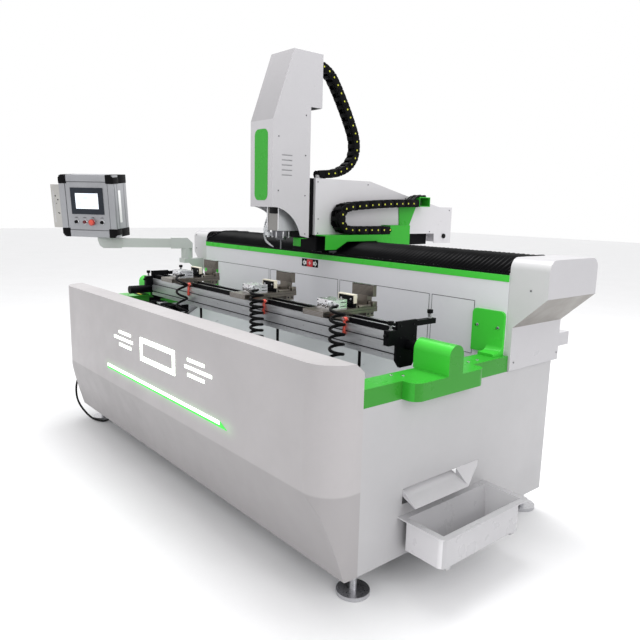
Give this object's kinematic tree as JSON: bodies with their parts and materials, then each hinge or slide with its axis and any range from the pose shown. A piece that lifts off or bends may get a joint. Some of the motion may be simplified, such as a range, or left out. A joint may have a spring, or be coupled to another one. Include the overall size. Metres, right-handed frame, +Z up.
{
  "type": "machining centre",
  "caption": "Three-axis machining centre for aluminium bars: base with chip trough, tilting clamp table, gantry beam, ram and spindle head, drag chains, swivelling control box.",
  "frame": {"origin": "on the floor, below the middle of the whole machine's bounding box", "axes": "+X to the machine's right along the beam, +Y from the operator's side to the back, +Z up"},
  "size_m": [3.1854, 1.9184, 2.055],
  "materials": {
    "frame_paint": "satin",
    "steel": "satin",
    "white_paint": "satin",
    "lit_acrylic": "gloss",
    "pan_steel": "satin",
    "green_paint": "gloss",
    "rail_steel": "polished",
    "bellows_cloth": "matt",
    "motor_black": "satin",
    "light_grey": "satin",
    "cable_rubber": "matt",
    "chain_plastic": "matt",
    "alu": "satin",
    "hose_grey": "satin",
    "screen_black": "gloss",
    "button_black": "satin",
    "button_dark_red": "satin",
    "button_red": "gloss",
    "clamp_grey": "satin",
    "jaw_cream": "satin"
  },
  "bodies": {
    "base": {"base_frame": "frame_paint", "levelling_feet": "steel", "front_shell": "white_paint", "light_panel": "lit_acrylic", "base_panels": "white_paint", "chip_chute": "white_paint", "chip_pan": "pan_steel", "end_beams": "green_paint", "corner_brackets": "green_paint", "gantry_beam": "frame_paint", "long_rails": "rail_steel", "beam_covers": "white_paint", "beam_stripe": "green_paint", "end_covers": "white_paint", "bellows": "bellows_cloth", "tilt_gearmotor": "motor_black", "pendant_post": "light_grey", "supply_cable": "cable_rubber"},
    "tray": {"chip_tray": "white_paint"},
    "saddle": {"saddle": "motor_black", "saddle_runners": "steel", "chain_bracket": "green_paint", "cross_chain": "chain_plastic"},
    "ram": {"ram_beam": "frame_paint", "ram_guides": "rail_steel", "ram_cover": "white_paint", "cross_motor": "motor_black", "chain_arm": "green_paint", "tall_chain": "chain_plastic"},
    "head": {"head_cover": "white_paint", "head_inlay": "green_paint", "lift_slide": "steel", "spindle_housing": "alu", "stop_block": "green_paint", "coolant_hose": "hose_grey"},
    "spindle": {"spindle_nose": "rail_steel"},
    "table": {"table_beam": "alu", "table_rails": "motor_black", "table_ends": "motor_black", "profile_stops": "motor_black"},
    "pendant_arm": {"pendant_arm": "light_grey"},
    "pendant_box": {"pendant_case": "alu", "pendant_trim": "button_black", "pendant_screen": "screen_black"},
    "start_button": {"start_button": "button_black"},
    "pause_button": {"pause_button": "button_dark_red"},
    "emergency_stop": {"emergency_stop": "button_red"},
    "reset_button": {"reset_button": "button_black"},
    "clamp_1": {"clamp_base_1": "clamp_grey", "air_hose_1": "cable_rubber"},
    "jaw_1": {"clamp_jaw_1": "jaw_cream"},
    "lever_1": {"clamp_lever_1": "button_red"},
    "clamp_2": {"clamp_base_2": "clamp_grey", "air_hose_2": "cable_rubber"},
    "jaw_2": {"clamp_jaw_2": "jaw_cream"},
    "lever_2": {"clamp_lever_2": "button_red"},
    "clamp_3": {"clamp_base_3": "clamp_grey", "air_hose_3": "cable_rubber"},
    "jaw_3": {"clamp_jaw_3": "jaw_cream"},
    "lever_3": {"clamp_lever_3": "button_red"}
  },
  "joints": [
    {"name": "tray_slide", "type": "slide", "parent": "base", "child": "tray", "axis": [1, 0, 0], "range_m": [0, 0.15]},
    {"name": "saddle_x", "type": "slide", "parent": "base", "child": "saddle", "axis": [1, 0, 0], "range_m": [-0.8275, 0.7725], "deforming": ["bellows"]},
    {"name": "ram_y", "type": "slide", "parent": "saddle", "child": "ram", "axis": [0, 1, 0], "range_m": [-0.2, 0.03], "deforming": ["cross_chain"]},
    {"name": "head_z", "type": "slide", "parent": "ram", "child": "head", "axis": [0, 0, 1], "range_m": [-0.1, 0.02], "deforming": ["tall_chain"]},
    {"name": "spindle_spin", "type": "hinge", "parent": "head", "child": "spindle", "pos_m": [0.21018, -0.27275, 1.162], "axis": [0, 0, 1], "continuous": true},
    {"name": "table_tilt", "type": "hinge", "parent": "base", "child": "table", "pos_m": [0.18268, -0.41775, 0.825], "axis": [1, 0, 0], "range_deg": [-90, 90]},
    {"name": "clamp_slide_1", "type": "slide", "parent": "table", "child": "clamp_1", "axis": [1, 0, 0], "range_m": [-0.21, 0.21], "deforming": ["air_hose_1"]},
    {"name": "jaw_slide_1", "type": "slide", "parent": "clamp_1", "child": "jaw_1", "axis": [0, 1, 0], "range_m": [0, 0.06]},
    {"name": "lever_turn_1", "type": "hinge", "parent": "clamp_1", "child": "lever_1", "pos_m": [-0.36532, -0.48105, 0.8843], "axis": [0, 1, 0], "range_deg": [0, 75]},
    {"name": "clamp_slide_2", "type": "slide", "parent": "table", "child": "clamp_2", "axis": [1, 0, 0], "range_m": [-0.21, 0.21], "deforming": ["air_hose_2"]},
    {"name": "jaw_slide_2", "type": "slide", "parent": "clamp_2", "child": "jaw_2", "axis": [0, 1, 0], "range_m": [0, 0.06]},
    {"name": "lever_turn_2", "type": "hinge", "parent": "clamp_2", "child": "lever_2", "pos_m": [0.36468, -0.48105, 0.8843], "axis": [0, 1, 0], "range_deg": [0, 75]},
    {"name": "clamp_slide_3", "type": "slide", "parent": "table", "child": "clamp_3", "axis": [1, 0, 0], "range_m": [-0.21, 0.21], "deforming": ["air_hose_3"]},
    {"name": "jaw_slide_3", "type": "slide", "parent": "clamp_3", "child": "jaw_3", "axis": [0, 1, 0], "range_m": [0, 0.06]},
    {"name": "lever_turn_3", "type": "hinge", "parent": "clamp_3", "child": "lever_3", "pos_m": [0.92968, -0.48105, 0.8843], "axis": [0, 1, 0], "range_deg": [0, 75]},
    {"name": "pendant_swing", "type": "hinge", "parent": "base", "child": "pendant_arm", "pos_m": [-1.08732, -0.10475, 1], "axis": [0, 0, 1], "range_deg": [-60, 60]},
    {"name": "pendant_turn", "type": "hinge", "parent": "pendant_arm", "child": "pendant_box", "pos_m": [-1.31732, -0.57875, 1.098], "axis": [0, 0, 1], "range_deg": [-60, 60]},
    {"name": "start_button_push", "type": "slide", "parent": "pendant_box", "child": "start_button", "axis": [-0.5855, 0.8059, 0.0872], "range_m": [0, 0.004], "stiffness_N_per_m": 400},
    {"name": "pause_button_push", "type": "slide", "parent": "pendant_box", "child": "pause_button", "axis": [-0.5855, 0.8059, 0.0872], "range_m": [0, 0.004], "stiffness_N_per_m": 400},
    {"name": "emergency_stop_push", "type": "slide", "parent": "pendant_box", "child": "emergency_stop", "axis": [-0.5855, 0.8059, 0.0872], "range_m": [0, 0.004], "stiffness_N_per_m": 400},
    {"name": "reset_button_push", "type": "slide", "parent": "pendant_box", "child": "reset_button", "axis": [-0.5855, 0.8059, 0.0872], "range_m": [0, 0.004], "stiffness_N_per_m": 400}
  ]
}
